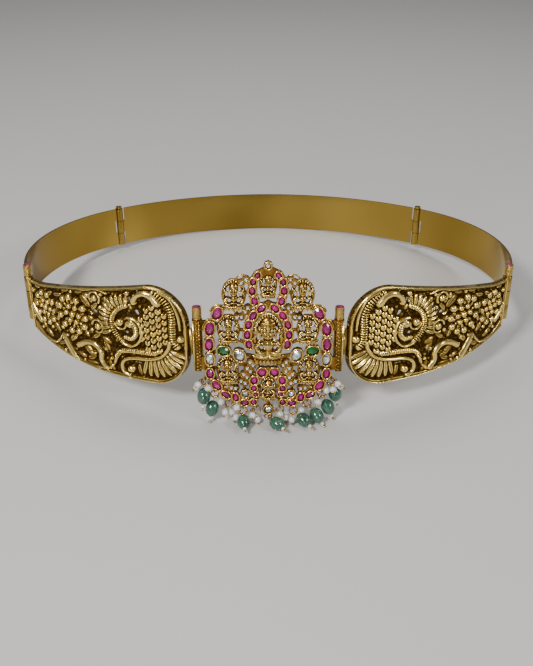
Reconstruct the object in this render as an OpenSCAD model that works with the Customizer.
// Oddiyanam waist belt: a jewelled pendant in front, two carved plates and three plain
// bands, joined by six hinges. Millimetres, +Z up, as it stands on a table: on the lower
// edge of the back band and on the green beads under the pendant.
// Each piece is drawn level, with z = 0 at the lower edge of the bands, x to the right and
// y to the back, and is then set down with its front lifted.

/* [Loop] */
// Height of the pendant from its lowest ruby to its tip
pendant_h = 80; // [74:0.5:86]
// Distance from the pendant's widest point to a front hinge axis
hinge_off = 2.9; // [2.6:0.1:4]
// Distance of the front hinge axes in front of the origin
front_reach = 101.9; // [92:0.1:112]
// Straight distance between the two hinge axes of a carved plate
plate_len = 111.5; // [104:0.5:120]
// Greatest height of a carved plate
plate_h = 53.5; // [48:0.5:56]
// Angle by which a carved plate runs back, in degrees
plate_sweep = 30.1; // [27:0.1:33]
// How far a carved plate bows out from its chord
plate_bow = 10.4; // [8:0.1:13]
// Straight distance between the two hinge axes of a side band
side_len = 121.6; // [112:0.5:132]
// Angle by which a side band leans in towards the back, in degrees
side_lean = 13.95; // [11:0.05:17]
// How far a side band bows out from its chord
side_bow = 22.7; // [17:0.1:27]
// How far the centre band bows out from its chord
back_bow = 33; // [27:0.1:38]
// Height of the plain bands
band_h = 25.2; // [23:0.1:29]
// Thickness of the plain bands
band_t = 1.2; // [0.9:0.1:1.6]

/* [Hinges] */
// Outer radius of the hinge knuckles
knuckle_r = 2.5; // [2.2:0.05:2.8]
// Radius of the pull-out pins
pin_r = 1.1; // [0.8:0.05:1.3]
// Radius of the two rivets of the back hinges
rivet_r = 0.9; // [0.7:0.05:1.1]
// Radial clearance of a pin in its bores
pin_clear = 0.1; // [0.06:0.01:0.2]
// Radial clearance at the right back hinge
open_clear = 0.65; // [0.6:0.05:0.8]
// Gap between neighbouring knuckles
knuckle_gap = 0.3; // [0.25:0.05:0.5]
// Radius of the head of a pull-out pin
head_r = 2.3; // [2:0.05:2.6]
// Height of the head of a pull-out pin
head_h = 6.2; // [5:0.1:8]

/* [Carving] */
// Thickness of the wall of a carved plate
plate_t = 1.3; // [1:0.1:1.8]
// Height of the low relief above the wall
relief_low = 1.2; // [0.8:0.1:1.8]
// Height of the high relief above the wall
relief_high = 2.4; // [1.9:0.1:3]
// Width of the rim of a carved plate
rim_w = 2.2; // [1.6:0.1:2.8]

/* [Pendant] */
// Thickness of the pendant's openwork base
base_t = 1.4; // [1:0.1:2]
// Height of the stone settings above the base
setting_h = 1.7; // [1.3:0.1:2.2]
// Width of the wall round a stone
setting_w = 0.9; // [0.7:0.05:1.1]
// Clearance round each stone
stone_clear = 0.12; // [0.1:0.01:0.2]
// Height of a stone's table above its setting
stone_proud = 0.5; // [0.3:0.05:0.8]
// Depth of the figures in front of the base
figure_d = 3.4; // [2.6:0.1:4.2]

/* [Drops] */
// Radius of a jump ring, at the middle of its wire
ring_r = 2; // [1.8:0.05:2.3]
// Radius of the wire of the jump rings and eyes
wire_r = 0.33; // [0.25:0.01:0.4]
// Radius of the thin wire through the beads
thread_r = 0.2; // [0.15:0.01:0.25]
// Diameter of a green bead
bead_d = 6.8; // [6:0.1:7.4]
// Length of a green bead
bead_l = 8.4; // [7.5:0.1:9]
// Diameter of a pearl
pearl_d = 3.5; // [3:0.1:3.7]
// Diameter of a seed pearl
seed_d = 1.8; // [1.5:0.1:2]
// Diameter of the gold ball at the end of a wire
tip_d = 1.3; // [1.1:0.1:1.5]

/* [Hidden] */

gold = "#c9962f";
old_gold = "#a8782a";
$fn = 48;
arc_fn = 240;

// The pendant's own unit: one eightieth of its height
u = pendant_h / 80;
pendant_half = 31.4 * u;
hinge_x = pendant_half + hinge_off;

// Hinge axes on the right, from front to back
front_axis = [hinge_x, -front_reach];
side_axis = front_axis + plate_len * [cos(plate_sweep), sin(plate_sweep)];
back_axis = side_axis + side_len * [-sin(side_lean), cos(side_lean)];
back_y = back_axis.y + back_bow;
rest_y = back_y + band_t / 2;

// The pendant's planes, front side towards -y
base_back = front_reach + 0.9;
base_front = base_back + base_t;
setting_front = base_front + setting_h;

// Heights of the knuckles of a front hinge
front_low = -0.8;
front_top = band_h + 0.9;
front_cut_a = front_low + 7;
front_cut_b = front_top - 5.2;

// The lowest eye hangs just clear of the table, and that gives the lift of the front
eye_r = 0.95;
rim_low = 26.1 * u;
table_gap = 0.5;
lift = asin((rim_low + 2 * (eye_r + wire_r) - wire_r + table_gap) / (rest_y + base_front));

function level_to_row(p) = [
    p.x,
    rest_y + (p.y - rest_y) * cos(lift) + p.z * sin(lift),
    -(p.y - rest_y) * sin(lift) + p.z * cos(lift)
];
module set_down() {
    translate([0, rest_y, 0]) rotate([-lift, 0, 0]) translate([0, -rest_y, 0]) children();
}
module left_side() mirror([1, 0, 0]) children();

// A piece's own frame runs along its chord from one hinge axis to the next, and bows to -y
module on_plate() translate([front_axis.x, front_axis.y, 0]) rotate(plate_sweep) children();
module on_side() translate([side_axis.x, side_axis.y, 0]) rotate(90 + side_lean) children();
module on_back() translate([back_axis.x, back_axis.y, 0]) rotate(180) children();

function bow_r(chord, bow) = (chord * chord / 4 + bow * bow) / (2 * bow);

module bowed_wall(chord, bow, from_r, to_r, z0, z1) {
    r = bow_r(chord, bow);
    half = asin(chord / 2 / r);
    translate([chord / 2, r - bow, z0]) rotate(-90 - half)
        rotate_extrude(angle = 2 * half, $fn = arc_fn)
            translate([r + from_r, 0]) square([to_r - from_r, z1 - z0]);
}

// Knuckles at one axis, each with the short web that joins it to its wall
module knuckles(x, ranges) {
    for (z = ranges) translate([x, 0, z[0]]) cylinder(r = knuckle_r, h = z[1] - z[0]);
}
module webs(chord, bow, t, x, ranges) {
    reach = knuckle_r + 3;
    for (z = ranges) intersection() {
        bowed_wall(chord, bow, -t / 2, t / 2, z[0], z[1]);
        translate([x - reach, -reach, z[0]]) cube([2 * reach, 2 * reach, z[1] - z[0]]);
    }
}
module hinge_room(x, z0, z1, play = 0) {
    room = knuckle_r + knuckle_gap + 0.1 + play;
    translate([x, 0, z0 - 1]) cylinder(r = room, h = z1 - z0 + 2);
}
module bore(x, r, z0, z1) translate([x, 0, z0 - 1]) cylinder(r = r, h = z1 - z0 + 2);

// The webs of a plain band are a little thinner than its wall
web_step = 0.1;
third = band_h / 3;
half_gap = knuckle_gap / 2;
outer_pair = [[0, third - half_gap], [2 * third + half_gap, band_h]];
middle_one = [[third + half_gap, 2 * third - half_gap]];
front_middle = [[front_cut_a + knuckle_gap, front_cut_b - knuckle_gap]];
front_pair = [[front_low, front_cut_a], [front_cut_b, front_top]];

module plain_band(chord, bow, start_ranges, end_ranges, start_bore, end_bore, start_play) {
    difference() {
        union() {
            difference() {
                bowed_wall(chord, bow, -band_t / 2, band_t / 2, 0, band_h);
                hinge_room(0, 0, band_h, start_play);
                hinge_room(chord, 0, band_h, open_clear);
            }
            webs(chord, bow, band_t - web_step, 0, start_ranges);
            webs(chord, bow, band_t - web_step, chord, end_ranges);
            knuckles(0, start_ranges);
            knuckles(chord, end_ranges);
        }
        bore(0, start_bore, 0, band_h);
        bore(chord, end_bore, 0, band_h);
    }
}
module side_band() {
    on_side() plain_band(side_len, side_bow, middle_one, outer_pair,
        pin_r + pin_clear, rivet_r + pin_clear, 0);
}
module left_band() color(old_gold) set_down() left_side() side_band();
module right_band() color(old_gold) set_down() side_band();
module centre_band() {
    color(old_gold) set_down() on_back() plain_band(2 * back_axis.x, back_bow,
        middle_one, middle_one, rivet_r + open_clear, rivet_r + pin_clear, open_clear);
}

// Pins and rivets
ruby_r = 1.7;
ruby_h = 0.9;
module pull_pin(z0, top) {
    color(gold) difference() {
        union() {
            translate([0, 0, z0]) cylinder(r = pin_r, h = top + 1 - z0);
            translate([0, 0, top + 0.2]) cylinder(r = head_r - 0.25, h = 0.9);
            translate([0, 0, top + 0.8]) cylinder(r = head_r, h = head_h - 1.4);
            translate([0, 0, top + head_h - 0.8]) cylinder(r = head_r - 0.15, h = 1);
        }
        translate([0, 0, top + head_h - 0.5]) cylinder(r = ruby_r + stone_clear, h = 1);
    }
}
module pin_ruby(top) {
    seat = top + head_h - 0.5 + stone_clear;
    color("#b0104f") translate([0, 0, seat]) {
        cylinder(r = ruby_r, h = 0.4, $fn = 10);
        translate([0, 0, 0.4]) cylinder(r1 = ruby_r, r2 = ruby_r * 0.6, h = ruby_h - 0.4, $fn = 10);
    }
}
module at_front() translate([front_axis.x, front_axis.y, 0]) children();
module at_side() translate([side_axis.x, side_axis.y, 0]) children();
module at_back() translate([back_axis.x, back_axis.y, 0]) children();
module right_front_pin() set_down() at_front() pull_pin(front_low, front_top);
module left_front_pin() set_down() left_side() at_front() pull_pin(front_low, front_top);
module right_side_pin() set_down() at_side() pull_pin(0, band_h);
module left_side_pin() set_down() left_side() at_side() pull_pin(0, band_h);
module right_front_ruby() set_down() at_front() pin_ruby(front_top);
module left_front_ruby() set_down() left_side() at_front() pin_ruby(front_top);
module right_side_ruby() set_down() at_side() pin_ruby(band_h);
module left_side_ruby() set_down() left_side() at_side() pin_ruby(band_h);

module rivet() {
    color(old_gold) at_back() {
        translate([0, 0, 0.5]) cylinder(r = rivet_r, h = band_h + 0.7);
        translate([0, 0, band_h + knuckle_gap]) cylinder(r = knuckle_r - 0.5, h = 1.2);
    }
}
module right_back_rivet() set_down() rivet();
module left_back_rivet() set_down() left_side() rivet();

// Carved plate, drawn flat in a field 112 long and 54 high. Its x runs from the front
// hinge axis to the side hinge axis and its y is the height over the bands' lower edge.
field = [plate_len / 112, plate_h / 54];

function on_oval(c, rx, ry, a0, a1, n) =
    [for (i = [0:n]) let (a = a0 + (a1 - a0) * i / n) [c.x + rx * cos(a), c.y + ry * sin(a)]];
function on_arc(c, r, a0, a1, n) = on_oval(c, r, r, a0, a1, n);
function side_step(pts, i) = let (
    a = pts[max(i - 1, 0)],
    b = pts[min(i + 1, len(pts) - 1)],
    d = b - a
) [-d.y, d.x] / norm(d);
module ribbon(pts, w) {
    n = len(pts) - 1;
    polygon(concat(
        [for (i = [0:n]) pts[i] + side_step(pts, i) * w / 2],
        [for (i = [n:-1:0]) pts[i] - side_step(pts, i) * w / 2]));
}
module oval(c, w, h, turn = 0, n = 8) {
    translate(c) rotate(turn) scale([w / 2, h / 2]) circle(1, $fn = n);
}

// A fan of n petals between two radii and two angles about c
module fan(c, r0, r1, a0, a1, n, w) {
    for (i = [0:n - 1]) {
        a = a0 + (a1 - a0) * (i + 0.5) / n;
        m = (r0 + r1) / 2;
        oval(c + m * [cos(a), sin(a)], r1 - r0, w, a, 6);
    }
}

// Outline: two round corners at the pendant end, then edges that run in to the side hinge
lobe_top = [22, 22];
lobe_top_r = 19.8;
lobe_low = [22, 6];
lobe_low_r = 17.7;
plate_start = 3.9;
plate_end = 108.2;
module outline_2d() {
    top_turn = 78;
    low_turn = -92;
    polygon(concat(
        on_oval(lobe_top, lobe_top.x - plate_start, lobe_top_r, top_turn, 180, 14),
        on_oval(lobe_low, lobe_low.x - plate_start, lobe_low_r, 180, 360 + low_turn, 14),
        [for (i = [0:8]) let (x = 34 + (plate_end - 34) * i / 8)
            [x, -11.7 + 0.00195 * pow(max(x - 40, 0), 2)]],
        [for (i = [0:5]) let (x = plate_end - (plate_end - 88) * i / 5)
            [x, 25.9 + 0.0066 * pow(plate_end - x, 2)]]));
}
module outline_field() {
    intersection() {
        outline_2d();
        translate([plate_start, -plate_h]) square([plate_end - plate_start, 2 * plate_h]);
    }
}

// Gaps cut through a plate: place and size, in the field
GX = 0;
GY = 1;
GW = 2;
GH = 3;
GT = 4;
gaps = [
    [7.9, 22, 1.2, 5, -6], [5.9, 9.2, 1.3, 3.4, 0], [12, -5, 2.6, 1.6, 40],
    [25.4, 28.6, 2.8, 2, 60], [29.7, 26.2, 3.4, 2.8, 30], [33.4, 33, 1.6, 3, 10],
    [28.9, 37.6, 2.4, 1.3, 10], [44.8, 34.4, 1.4, 2.4, 20], [36.6, 14, 1.7, 2.6, 60],
    [35.3, 24.6, 1.3, 1.8, 0], [40.3, 6.6, 1.8, 2, 0], [45.8, 2, 2.2, 2, 0],
    [45.2, -4.4, 2, 3.6, -30], [31, -2.4, 4, 1.3, 0], [55.4, 21.8, 3.4, 2.2, 0],
    [59.6, 9.2, 2.4, 2, 0], [57.4, -1.6, 4.6, 1.6, 10], [49.8, -0.6, 2, 2.6, 0],
    [84, 13.5, 2.4, 5, 0], [86.5, -3.4, 4, 1.6, 20], [79.5, 1, 3.6, 1.5, 20],
    [58, 32.4, 3, 1.2, 12], [103, 2.6, 2.2, 2.8, 30], [69, -7, 3.4, 1.2, 0]
];
module gaps_2d() scale(field) offset(delta = 0.01)
    for (g = gaps) oval([g[GX], g[GY]], g[GW], g[GH], g[GT], 6);

// The peacock: neck, coiled head, ribbed collars and two fans
coil = [33.6, 15.4];
collar = [34.5, 18.8];
shell = [22, 12];
module low_relief_2d() {
    oval([19.2, 19.4], 13.4, 27, 8, 14);
    oval(coil, 15.5, 16.5, 0, 14);
    ribbon(on_arc(collar, 11.8, -64, 90, 10), 7.6);
    ribbon(on_arc(shell, 15.4, -76, -158, 8), 8.4);
    ribbon(on_arc([25, 24], 14.4, 108, 214, 10), 3);
    oval([51.5, 30], 7, 4.5, 20);
    oval([52.5, 13.5], 5, 7, 10);
    oval([48.2, 7.2], 7, 3.6, 30);
    oval([61.5, 28.6], 8.5, 4, -40);
    oval([72, 16.6], 22.5, 22.5, 0, 14);
    oval([97.5, 12.8], 17, 19, 0, 12);
    oval([74.5, -3.8], 5, 9.5, 20);
    oval([53.6, -5.2], 6, 9, 25);
    oval([84.5, 4.4], 8, 3.4, 50);
    oval([91.5, -1.4], 9, 3.6, 35);
    oval([104.6, 6.6], 4.6, 8, -20);
    oval([83, 23.6], 9, 3, -12);
    oval([64, -5.6], 7, 2.6, 10);
}
module high_relief_2d() {
    ribbon(on_arc([23.6, 31.4], 4.7, 8, 172, 8), 3.4);
    ribbon(on_arc(coil, 7, 66, 318, 12), 1.1);
    ribbon(on_arc(coil + [0.4, 0], 3.2, 120, 400, 9), 2.4);
    ribbon(on_arc(collar, 9.9, -66, 90, 10), 1.7);
    ribbon(on_arc([25, 24], 14.4, 110, 212, 9), 2);
    ribbon(concat(on_arc([27, 13.6], 13.6, 190, 268, 6),
        [[34, 0.3], [38.5, -1.4], [43, -5.4], [48, -8.6]]), 1.5);
    ribbon([[42.6, 1.4], [38.4, 4.6], [33, 5.3], [24, 5.6]], 1.9);
    ribbon(on_arc([36.6, -5.6], 3.8, 92, -118, 8), 1.5);
    fan(collar, 11.4, 15.6, -38, 88, 10, 1.3);
    fan(shell, 11.4, 19.8, -74, -160, 8, 1.5);
    ribbon([[66.5, 0], [61, 2.4], [57.6, 3.6], [54.6, 1.6], [52.6, -2]], 1.8);
    ribbon([[86, -4], [82, -2], [78.6, 1.8], [75, 2.4]], 1.5);
}
through = knuckle_r + relief_high;
module through_plate() {
    translate([0, through, 0]) rotate([90, 0, 0]) linear_extrude(plate_bow + 2 * through) children();
}
module relief(from_r, to_r) {
    intersection() {
        bowed_wall(plate_len, plate_bow, from_r, to_r, -plate_h, 2 * plate_h);
        through_plate() children();
    }
}
module blank_2d() scale(field) offset(delta = 0.01) outline_field();
module recess_2d() scale(field) offset(delta = -rim_w) outline_field();
module carved_2d() {
    scale(field) offset(delta = 0.01) intersection() {
        children();
        offset(delta = -rim_w * 0.4) outline_field();
    }
}
// Two flowers of balls, and single balls: place, ring radius, count and ball radius
flowers = [
    [[72, 16.6], 9.4, 11, 1.35], [[72, 16.6], 0, 1, 1.8],
    [[97.5, 12.8], 7, 9, 1.2], [[97.5, 12.8], 0, 1, 1.5],
    [[6.9, 15.4], 0, 1, 1.9], [[38.6, 20], 0, 1, 1.8], [[34.2, -6.6], 0, 1, 1.5],
    [[53, 30.2], 0, 1, 2.2], [[52.6, 14.6], 0, 1, 2], [[49.4, 33], 0, 1, 1.1]
];
module ball_on_plate(p, r) {
    big = bow_r(plate_len, plate_bow) + plate_t / 2 + relief_low * 0.7;
    x = p.x * field.x;
    y = bow_r(plate_len, plate_bow) - plate_bow - sqrt(big * big - pow(x - plate_len / 2, 2));
    translate([x, y, p.y * field.y]) sphere(r, $fn = 24);
}
module carved_plate() {
    low = plate_t / 2 + relief_low;
    high = plate_t / 2 + relief_high;
    z0 = -plate_h;
    z1 = 2 * plate_h;
    color(gold) on_plate() difference() {
        union() {
            difference() {
                union() {
                    difference() {
                        relief(-plate_t / 2, high - 0.3) blank_2d();
                        relief(plate_t / 2, high + 1) recess_2d();
                    }
                    relief(-plate_t / 4, low) carved_2d() low_relief_2d();
                    relief(0, high) carved_2d() high_relief_2d();
                }
                through_plate() gaps_2d();
                hinge_room(0, z0, z1);
                hinge_room(plate_len, z0, z1);
            }
            for (f = flowers) for (i = [0:f[2] - 1])
                ball_on_plate(f[0] + f[1] * [cos(360 * i / f[2]), sin(360 * i / f[2])], f[3]);
            webs(plate_len, plate_bow, plate_t, 0, front_middle);
            webs(plate_len, plate_bow, plate_t, plate_len, outer_pair);
            knuckles(0, front_middle);
            knuckles(plate_len, outer_pair);
        }
        bore(0, pin_r + pin_clear, front_low, front_top);
        bore(plate_len, pin_r + pin_clear, 0, band_h);
    }
}
module right_plate() set_down() carved_plate();
module left_plate() set_down() left_side() carved_plate();

// Stones of the pendant's right half, in eightieths of its height: place, width, height
// and turn. The tables hold the right half, and the left half mirrors it.
SX = 0;
SZ = 1;
SW = 2;
SH = 3;
ST = 4;
function mirrored(rows) = [for (r = rows) [-r[SX], r[SZ], r[SW], r[SH], -r[ST]]];
top_arch = [
    [5, 50.1, 2.4, 3.3, 33], [7, 46.9, 2.7, 3.3, 18],
    [7.5, 42.3, 3, 3.9, 0], [6.3, 37.1, 3, 4.1, -14]
];
middle_arch = [
    [3.2, 33.3, 3, 4.7, 44], [7.1, 29.5, 3, 4.7, 30], [9.4, 24.7, 3, 4.5, 17],
    [10.1, 19.3, 3, 4.5, 3], [9.3, 14, 3, 4.5, -14]
];
bottom_arch = [
    [3.05, -1.5, 4.2, 4.6, 24], [7, -6, 3.4, 4.1, 18],
    [7.2, -10.6, 2.8, 2.9, 0], [6.2, -14, 2.2, 2.1, 0]
];
border = [
    [24.2, 30.6, 4.3, 6.4, 28], [28, 22.5, 4.4, 7, 9], [28.6, 14, 3.9, 6.6, 2],
    [28.7, -2.1, 3.4, 5.2, -8], [25.6, -8.9, 3.6, 5.8, -34], [21, -14.3, 5, 2.9, 30],
    [16.3, -15.8, 2.9, 4.6, -12], [11.9, -19, 4.1, 3, 6], [7.3, -18.6, 2.9, 2.9, 0]
];
emerald = [21.6, 10.5, 6, 4.6, 10];
border_polki = [28.5, 5.8, 3.9, 6.4, -3];
inner_polki = [14, 8, 4.8, 6.4, -20];
lower_polki = [11.4, -13.9, 3.4, 3.4, 0];
top_polki_row = [0, 54.9, 2.4, 2.6, 0];
bottom_polki_row = [0, -23.1, 3.9, 4.1, 0];
crystal_d = 2;
crystal_places = [
    [12.5, 46.3], [10.4, 48], [9.6, 33.5], [10.9, 31.5], [14.9, 28.5], [12.7, 28.7],
    [8.9, 4.2], [7.4, 2.5], [10.4, 0.7], [8.8, -0.9], [12.1, -2.7], [10.5, -4.3],
    [13.5, -6.5], [11.4, -7.6], [18.4, -10.4], [16.2, -10.7]
];
half_crystals = [for (c = crystal_places) [c.x, c.y, crystal_d, crystal_d, 0]];
half_rubies = concat(top_arch, middle_arch, bottom_arch, border);
half_clear = [border_polki, inner_polki, lower_polki];
half_stones = concat(half_rubies, half_clear, [emerald], half_crystals);
mid_stones = [top_polki_row, bottom_polki_row];
all_stones = concat(half_stones, mirrored(half_stones), mid_stones);

function sides_of(r) = r[SW] * r[SH] > 14 && r[SX] != 0 ? 10 : 8;
module stone_2d(r) {
    translate([r[SX], r[SZ]]) rotate(r[ST]) scale([r[SW] / 2, r[SH] / 2])
        circle(1, $fn = sides_of(r));
}

// A cut stone as one closed solid: a flat back, a girdle, a ring of crown facets and a table
function ring_of(r, n, grow, y) = [for (i = [0:n - 1])
    let (
        a = 360 * i / n,
        px = r[SW] / 2 * grow * cos(a),
        pz = r[SH] / 2 * grow * sin(a)
    )
    [
        (r[SX] + px * cos(r[ST]) - pz * sin(r[ST])) * u,
        y,
        (r[SZ] + px * sin(r[ST]) + pz * cos(r[ST])) * u
    ]];
module cut_stone(r) {
    n = sides_of(r);
    back = -(base_front + stone_clear);
    girdle = -(setting_front - 0.4);
    table = -(setting_front + stone_proud);
    pts = concat(ring_of(r, n, 0.8, back), ring_of(r, n, 0.97, girdle),
        ring_of(r, n, 0.55, table));
    ring_faces = [for (k = [0, 1]) for (i = [0:n - 1])
        [k * n + i, k * n + (i + 1) % n, (k + 1) * n + (i + 1) % n, (k + 1) * n + i]];
    polyhedron(pts, concat([[for (i = [n - 1:-1:0]) i]], ring_faces,
        [[for (i = [0:n - 1]) 2 * n + i]]));
}
module stones(rows) set_down() for (r = rows) cut_stone(r);
module rubies(rows) color("#b0104f") stones(rows);
module polki(r) color("#dfe6ea") stones([r]);

module top_arch_rubies() rubies(concat(top_arch, mirrored(top_arch)));
module middle_arch_rubies() rubies(concat(middle_arch, mirrored(middle_arch)));
module bottom_arch_rubies() rubies(concat(bottom_arch, mirrored(bottom_arch)));
module right_border_rubies() rubies(border);
module left_border_rubies() rubies(mirrored(border));
module right_emerald() color("#0d7a3c") stones([emerald]);
module left_emerald() color("#0d7a3c") stones(mirrored([emerald]));
module right_border_polki() polki(border_polki);
module left_border_polki() polki(mirrored([border_polki])[0]);
module right_inner_polki() polki(inner_polki);
module left_inner_polki() polki(mirrored([inner_polki])[0]);
module right_lower_polki() polki(lower_polki);
module left_lower_polki() polki(mirrored([lower_polki])[0]);
module top_polki() polki(top_polki_row);
module bottom_polki() polki(bottom_polki_row);
module crystals() {
    color("#eef2f4") stones(concat(half_crystals, mirrored(half_crystals)));
}

// Seated figures: place of the seat's foot, width and height, in eightieths
centre_seat = [0, 3.2, 15.6, 28];
top_seat = [0, 38.3, 8.4, 13.6];
bottom_seat = [0, -17.8, 8.4, 13.2];
upper_seat = [16.2, 32, 11.6, 16];
middle_seat = [19.1, 14, 11.2, 15.6];
lower_seat = [20, -8.2, 11, 15.4];

// A seated figure on a lotus, with four arms and a ring of light behind it
module limb(a, b, ra, rb, n) hull() {
    translate(a) sphere(ra, $fn = n);
    translate(b) sphere(rb, $fn = n);
}
module seated(w, h, n) {
    intersection() {
        scale([1, figure_d / (0.26 * h), 1]) {
            limb([-0.2 * w, -0.02 * h, 0.04 * h], [0.2 * w, -0.02 * h, 0.04 * h],
                0.05 * h, 0.05 * h, n);
            limb([-0.36 * w, -0.03 * h, 0.12 * h], [0.36 * w, -0.03 * h, 0.12 * h],
                0.05 * h, 0.05 * h, n);
            limb([0, -0.1 * h, 0.24 * h], [0, -0.09 * h, 0.42 * h], 0.1 * h, 0.13 * h, n);
            limb([-0.22 * w, -0.07 * h, 0.46 * h], [0.22 * w, -0.07 * h, 0.46 * h],
                0.06 * h, 0.06 * h, n);
            limb([0, -0.11 * h, 0.61 * h], [0, -0.1 * h, 0.71 * h], 0.11 * h, 0.135 * h, n);
            limb([0, -0.08 * h, 0.84 * h], [0, -0.06 * h, 0.955 * h], 0.07 * h, 0.03 * h, n);
            for (s = [-1, 1]) {
                limb([0, -0.13 * h, 0.2 * h], [s * 0.34 * w, -0.09 * h, 0.23 * h],
                    0.06 * h, 0.055 * h, n);
                limb([s * 0.24 * w, -0.09 * h, 0.47 * h], [s * 0.32 * w, -0.12 * h, 0.33 * h],
                    0.055 * h, 0.045 * h, n);
                limb([s * 0.22 * w, -0.05 * h, 0.47 * h], [s * 0.43 * w, -0.03 * h, 0.5 * h],
                    0.045 * h, 0.04 * h, n);
                limb([s * 0.43 * w, -0.03 * h, 0.5 * h], [s * 0.38 * w, -0.05 * h, 0.68 * h],
                    0.04 * h, 0.05 * h, n);
            }
            translate([0, 0, 0.5 * h]) scale([w / 2 - 0.035 * h, 1, 0.44 * h])
                rotate([90, 0, 0]) rotate_extrude($fn = 10)
                    translate([1, 0]) scale([0.14, 0.05 * h]) circle(1, $fn = 4);
        }
        translate([-w, -2 * figure_d, -0.02 * h]) cube([2 * w, 2 * figure_d, 1.1 * h]);
    }
}
// A figure stands off the base and is cut back round the settings by the same gap
figure_gap = 0.12;
module figure(seat, n) {
    color(gold) set_down() difference() {
        translate([seat[0] * u, -base_front - figure_gap, seat[1] * u])
            seated(seat[2] * u, seat[3] * u, n);
        in_front(base_front - figure_gap, setting_front + stone_proud + figure_gap)
            scale(u) offset(delta = figure_gap / u) settings_2d();
    }
}
function across(s) = [-s[0], s[1], s[2], s[3]];
module centre_figure() figure(centre_seat, 8);
module top_figure() figure(top_seat, 6);
module bottom_figure() figure(bottom_seat, 6);
module upper_right_figure() figure(upper_seat, 6);
module upper_left_figure() figure(across(upper_seat), 6);
module middle_right_figure() figure(middle_seat, 6);
module middle_left_figure() figure(across(middle_seat), 6);
module lower_right_figure() figure(lower_seat, 6);
module lower_left_figure() figure(across(lower_seat), 6);

// Openwork base: a ribbon under each row of stones, the backs of the figures and bars
bar_w = 1.4;
row_w = 3.2;
half_bars = [
    [[8, 45], [12, 47.2]], [[9.4, 41.5], [12, 39]], [[6, 35], [10, 32.5]],
    [[14, 28.6], [16.4, 32]], [[20.6, 34], [23, 32]], [[23.6, 24], [27, 24]],
    [[10, 21], [14.4, 21]], [[9, 13], [14.6, 15.6]], [[20.6, 11.6], [19.4, 14.6]],
    [[21.6, 10.5], [28.5, 8]], [[14, 8], [16.6, 3.2]], [[24.4, 0], [28, 0]],
    [[4, 6], [14, 8]], [[9.6, 2], [14.6, 2]], [[12.4, -4], [15.2, -4]],
    [[12.4, -7], [11.4, -13.9]], [[17.4, -10.6], [18, -15]], [[14, -8], [17.4, -7]],
    [[21, -9.4], [23, -12.6]], [[4, 2], [8.2, 3.4]], [[6, -4], [9.6, -0.2]],
    [[3.4, -10.6], [7, -10.6]], [[2.6, -16], [7.2, -18]]
];
module figure_back_2d(s) {
    h = s[3];
    w = s[2];
    translate([s[0], s[1] + h / 2]) difference() {
        scale([w / 2, h / 2]) circle(1, $fn = 10);
        scale([w / 2 - bar_w, h / 2 - bar_w]) circle(1, $fn = 10);
    }
    translate([s[0] - w * 0.13, s[1]]) square([w * 0.26, h * 0.8]);
    translate([s[0] - w * 0.38, s[1] + h * 0.02]) square([w * 0.76, h * 0.14]);
}
function places(rows) = [for (r = rows) [r[SX], r[SZ]]];
function backwards(rows) = [for (i = [len(rows) - 1:-1:0]) rows[i]];

// The line of an arch, from its left foot over its crown to its right foot
function arch_line(rows, crown) = concat(places(mirrored(backwards(rows))), [[0, crown]], places(rows));
arch_lines = [arch_line(top_arch, 53), arch_line(middle_arch, 35.2), arch_line(bottom_arch, -0.5)];
channel_w = 4.2;
rim_channel_w = 3;
rim_rows = [for (i = [4:len(border) - 1]) border[i]];
module settings_2d() {
    fill_w = 0.3;
    offset(delta = -fill_w) offset(delta = fill_w) {
        offset(delta = setting_w / u) for (r = all_stones) stone_2d(r);
        for (line = arch_lines) ribbon(line, channel_w);
        ribbon(places(rim_rows), rim_channel_w);
        ribbon(places(mirrored(rim_rows)), rim_channel_w);
    }
}
border_line = places(concat([for (i = [0:2]) border[i]], [border_polki],
    [for (i = [3:len(border) - 1]) border[i]]));
module half_base_2d() {
    for (s = [upper_seat, middle_seat, lower_seat]) figure_back_2d(s);
    for (b = half_bars) ribbon(b, bar_w);
    ribbon(border_line, row_w);
    for (i = [0:2:len(crystal_places) - 1])
        ribbon([crystal_places[i], crystal_places[i + 1]], bar_w);
    for (r = concat(half_clear, [emerald])) stone_2d(r);
}
module base_2d() {
    union() {
        for (line = arch_lines) ribbon(line, row_w);
        for (r = mid_stones) stone_2d(r);
        half_base_2d();
        mirror([1, 0]) half_base_2d();
        figure_back_2d(top_seat);
        figure_back_2d(bottom_seat);
        translate([-2.4, 2.2]) square([4.8, 26]);
        translate([-8.6, 3.4]) square([17.2, 3.4]);
        translate([-1, -24]) square([2, 22]);
    }
}
module pockets_2d() {
    offset(delta = stone_clear / u) for (r = all_stones) if (r[SW] != crystal_d) stone_2d(r);
}
module in_front(y0, y1) translate([0, -y0, 0]) rotate([90, 0, 0]) linear_extrude(y1 - y0) children();

// Beaded strip in front of each front hinge, with arms to the pendant
strip_w = 2.8;
strip_t = 1.1;
strip_back = front_reach + knuckle_r + 0.35;
strip_beads = 15;
module hinge_strip() {
    pitch = (front_top - front_low) / strip_beads;
    translate([hinge_x - strip_w / 2, -strip_back - strip_t, front_low])
        cube([strip_w, strip_t, front_top - front_low]);
    for (i = [0:strip_beads - 1])
        translate([hinge_x, -strip_back - strip_t, front_low + (i + 0.5) * pitch])
            sphere(pitch * 0.46, $fn = 24);
    for (z = front_pair) translate([0, 0, z[0]]) {
        translate([hinge_x, -front_reach, 0]) cylinder(r = knuckle_r, h = z[1] - z[0]);
        translate([hinge_x - 1.3, -strip_back - strip_t / 2, 0])
            cube([2.6, strip_back - front_reach, z[1] - z[0]]);
        translate([hinge_x - hinge_off - 2.6 * u, -base_front, 0])
            cube([hinge_off + 2.6 * u, base_t - 0.1, z[1] - z[0]]);
    }
}
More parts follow.
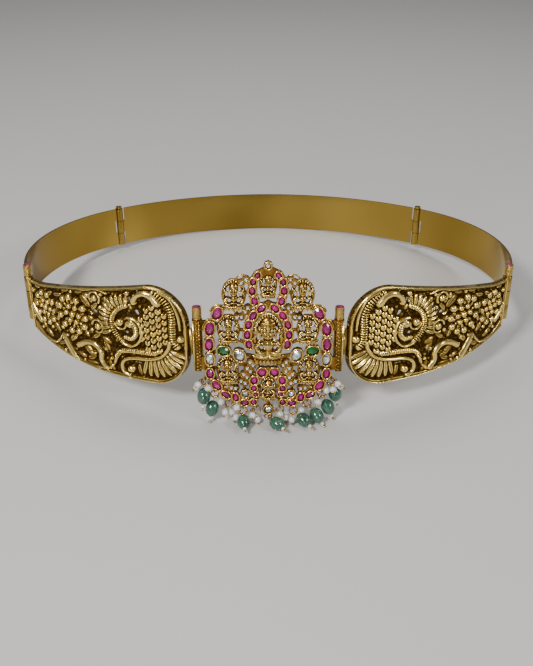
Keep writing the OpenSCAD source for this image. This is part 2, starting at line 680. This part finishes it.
// Eyes on the lower rim that carry the jump rings: place in eightieths, how far the ring
// lies forward, in degrees, and the length of the wire from the eye's top to the rim
EX = 0;
EZ = 1;
EL = 2;
EW = 3;
half_eyes = [
    [31.3, -5.5, 6, 2.6], [26.8, -12.7, 8, 2.2], [19.7, -18.1, 12, 2.2],
    [12.7, -22.1, 30, 0], [5.9, -21.5, 30, 0]
];
mid_eye = [0, -26.9, 105, 0];
eye_y = base_front;
module eye(x, z) {
    translate([x, -eye_y, z]) rotate([0, 90, 0]) rotate_extrude($fn = 24)
        translate([eye_r, 0]) circle(wire_r, $fn = 16);
}
module eye_wire(e) {
    translate([(e[EX] - e[EW]) * u, wire_r - eye_y, e[EZ] * u + eye_r]) rotate([0, 90, 0])
        cylinder(r = wire_r, h = e[EW] * u, $fn = 16);
}
module pendant_frame() {
    color(gold) set_down() difference() {
        union() {
            in_front(base_back, base_front) scale(u) offset(delta = 0.01) base_2d();
            in_front(base_front - 0.3, setting_front) scale(u) offset(delta = 0.01)
                difference() {
                    settings_2d();
                    pockets_2d();
                }
            for (m = [0, 1]) mirror([m, 0, 0]) {
                hinge_strip();
                for (e = half_eyes) eye(e[EX] * u, e[EZ] * u);
                for (e = half_eyes) if (e[EW] > 0) eye_wire(e);
            }
            eye(0, mid_eye[EZ] * u);
        }
        for (m = [-1, 1]) translate([m * hinge_x, -front_reach, front_low - 1])
            cylinder(r = pin_r + pin_clear, h = front_top - front_low + 2);
        for (m = [-1, 1]) for (c = crystal_places)
            translate([m * c.x * u, -base_front, c.y * u]) rotate([90, 0, 0])
                cylinder(r = crystal_d * u / 2 + stone_clear, h = setting_h + 1);
    }
}

// Jump rings: each hangs in its eye, leaning forward by its angle
function ring_up(lay) = [0, sin(lay), cos(lay)];
function ring_centre(e, s) = level_to_row([s * e[EX] * u, -eye_y, e[EZ] * u]) - ring_r * ring_up(e[EL]);
module jump_ring(e, s) {
    translate(ring_centre(e, s)) rotate([90 - e[EL], 0, 0]) rotate_extrude($fn = 32)
        translate([ring_r, 0]) circle(wire_r, $fn = 16);
}
module jump_rings() {
    color("#d08a2a") {
        for (s = [-1, 1]) for (e = half_eyes) jump_ring(e, s);
        jump_ring(mid_eye, 1);
    }
}

// Drops: number of the ring from the outside, its side, the seat on the ring in degrees
// from its bottom, the way it points out from straight ahead and its fall, both in degrees.
// A fall below zero stands for a bead that lies on the table.
DR = 0;
DS = 1;
DA = 2;
DO = 3;
DF = 4;
eyes = concat(half_eyes, [mid_eye]);
green_drops = [
    [0, -1, 4, 13, 58], [1, -1, 9, 23, 60], [3, -1, 7, -7, -1], [5, 1, 22, 37, -1],
    [3, 1, 52, 37, -1], [2, 1, 43, 42, -1], [1, 1, 28, 54, 60], [0, 1, 28, 74, 76]
];
pearl_drops = [
    [0, -1, 98, 24, 0], [0, -1, 61, 67, 34], [0, -1, -49, 0, 5], [0, 1, 110, 23, 0],
    [0, 1, 69, 69, 25], [0, 1, 5, 14, 8], [0, 1, -43, -19, 51], [1, -1, -35, -40, 27],
    [1, 1, -16, -20, 14], [1, 1, -39, -82, 84], [2, -1, 44, 17, 47], [2, -1, -37, -4, 76],
    [2, -1, -87, -35, 8], [2, 1, -56, -68, 71], [3, -1, 68, 36, 38], [3, 1, -11, -6, 18],
    [4, -1, 77, 0, 10], [4, -1, -7, -6, -1], [4, 1, -65, 35, 0], [4, 1, 56, 28, 45]
];
loop_r = 1.05;
neck = 0.35;
green_start = loop_r + thread_r + neck;
green_end = green_start + bead_l;
pearl_end = green_start + pearl_d;
bead_gap = 0.1;
seed_at = green_end + bead_gap + seed_d / 2;
green_tip_at = green_end + 3 * bead_gap + seed_d + 0.42 * tip_d;
small_tip_d = 0.8 * tip_d;
pearl_tip_at = pearl_end + 1.5 * bead_gap + 0.42 * small_tip_d;
function seat_of(d) = let (e = eyes[d[DR]], s = d[DS])
    ring_centre(e, s) + ring_r * ([s * sin(d[DA]), 0, 0] - cos(d[DA]) * ring_up(e[EL]));
function tangent_of(d) = let (e = eyes[d[DR]], s = d[DS])
    [s * cos(d[DA]), 0, 0] + sin(d[DA]) * ring_up(e[EL]);
function heading(d, fall) =
    [d[DS] * cos(fall) * sin(d[DO]), -cos(fall) * cos(d[DO]), -sin(fall)];
// Falls at which a ball of radius r, or a bead of half length a and half width b, touches
// the table when its middle is at reach m and the seat is h above the table
function ball_fall(h, m, r) = asin(max(-0.9, min(0.98, (h - r) / m)));
function bead_fall(h, m, a, b, f = 0, n = 4) = n == 0 ? f
    : bead_fall(h, m, a, b, ball_fall(h, m, norm([a * sin(f), b * cos(f)])), n - 1);
function kept(d, most) = d[DF] < 0 ? most : min(d[DF], most);
function green_fall(d) = let (h = seat_of(d).z) kept(d, min(
    bead_fall(h, green_start + bead_l / 2, bead_l / 2, bead_d / 2),
    ball_fall(h, seed_at, seed_d / 2), ball_fall(h, green_tip_at, tip_d / 2)));
function pearl_fall(d) = let (h = seat_of(d).z) kept(d, min(
    ball_fall(h, green_start + pearl_d / 2, pearl_d / 2),
    ball_fall(h, pearl_tip_at, small_tip_d / 2)));
module along(o, d, t) {
    a = t - (t * d) * d;
    z = a / norm(a);
    y = cross(z, d);
    multmatrix([
        [d.x, y.x, z.x, o.x], [d.y, y.y, z.y, o.y], [d.z, y.z, z.z, o.z], [0, 0, 0, 1]
    ]) children();
}
module hung(d, fall) along(seat_of(d), heading(d, fall), tangent_of(d)) children();

hole_r = thread_r + 0.12;
module drilled(l, w) {
    steps = 14;
    lean = asin(hole_r / (w / 2));
    rotate([0, 90, 0]) rotate_extrude($fn = 32) polygon(
        [for (i = [0:steps]) let (a = lean + (180 - 2 * lean) * i / steps)
            [w / 2 * sin(a), -l / 2 * cos(a)]]);
}
module ball_bead(at, dia) {
    translate([at, 0, 0]) difference() {
        sphere(d = dia);
        rotate([0, 90, 0]) cylinder(r = hole_r, h = dia + 1, center = true);
    }
}
module green_bead(i) {
    color("#2f8a63") hung(green_drops[i], green_fall(green_drops[i]))
        translate([green_start + bead_l / 2, 0, 0]) drilled(bead_l, bead_d);
}
module green_bead_1() green_bead(0);
module green_bead_2() green_bead(1);
module green_bead_3() green_bead(2);
module green_bead_4() green_bead(3);
module green_bead_5() green_bead(4);
module green_bead_6() green_bead(5);
module green_bead_7() green_bead(6);
module green_bead_8() green_bead(7);
module pearls() {
    color("#efe9df") for (d = pearl_drops)
        hung(d, pearl_fall(d)) ball_bead(green_start + pearl_d / 2, pearl_d);
}
module seed_pearls() {
    color("#efe9df") for (d = green_drops) hung(d, green_fall(d)) ball_bead(seed_at, seed_d);
}
module drop_wire(tip_at, tip) {
    rotate_extrude($fn = 24) translate([loop_r, 0]) circle(thread_r, $fn = 16);
    translate([loop_r, 0, 0]) rotate([0, 90, 0]) cylinder(r = thread_r, h = tip_at - loop_r);
    translate([tip_at, 0, 0]) sphere(d = tip, $fn = 24);
}
module drop_wires() {
    color(gold) {
        for (d = green_drops) hung(d, green_fall(d)) drop_wire(green_tip_at, tip_d);
        for (d = pearl_drops) hung(d, pearl_fall(d)) drop_wire(pearl_tip_at, small_tip_d);
    }
}

pendant_frame();
centre_figure();
top_figure();
bottom_figure();
upper_left_figure();
upper_right_figure();
middle_left_figure();
middle_right_figure();
lower_left_figure();
lower_right_figure();
left_plate();
right_plate();
left_band();
right_band();
centre_band();
left_front_pin();
right_front_pin();
left_side_pin();
right_side_pin();
left_front_ruby();
right_front_ruby();
left_side_ruby();
right_side_ruby();
left_back_rivet();
right_back_rivet();
top_arch_rubies();
middle_arch_rubies();
bottom_arch_rubies();
left_border_rubies();
right_border_rubies();
left_emerald();
right_emerald();
left_border_polki();
right_border_polki();
left_inner_polki();
right_inner_polki();
left_lower_polki();
right_lower_polki();
top_polki();
bottom_polki();
crystals();
green_bead_1();
green_bead_2();
green_bead_3();
green_bead_4();
green_bead_5();
green_bead_6();
green_bead_7();
green_bead_8();
jump_rings();
drop_wires();
pearls();
seed_pearls();
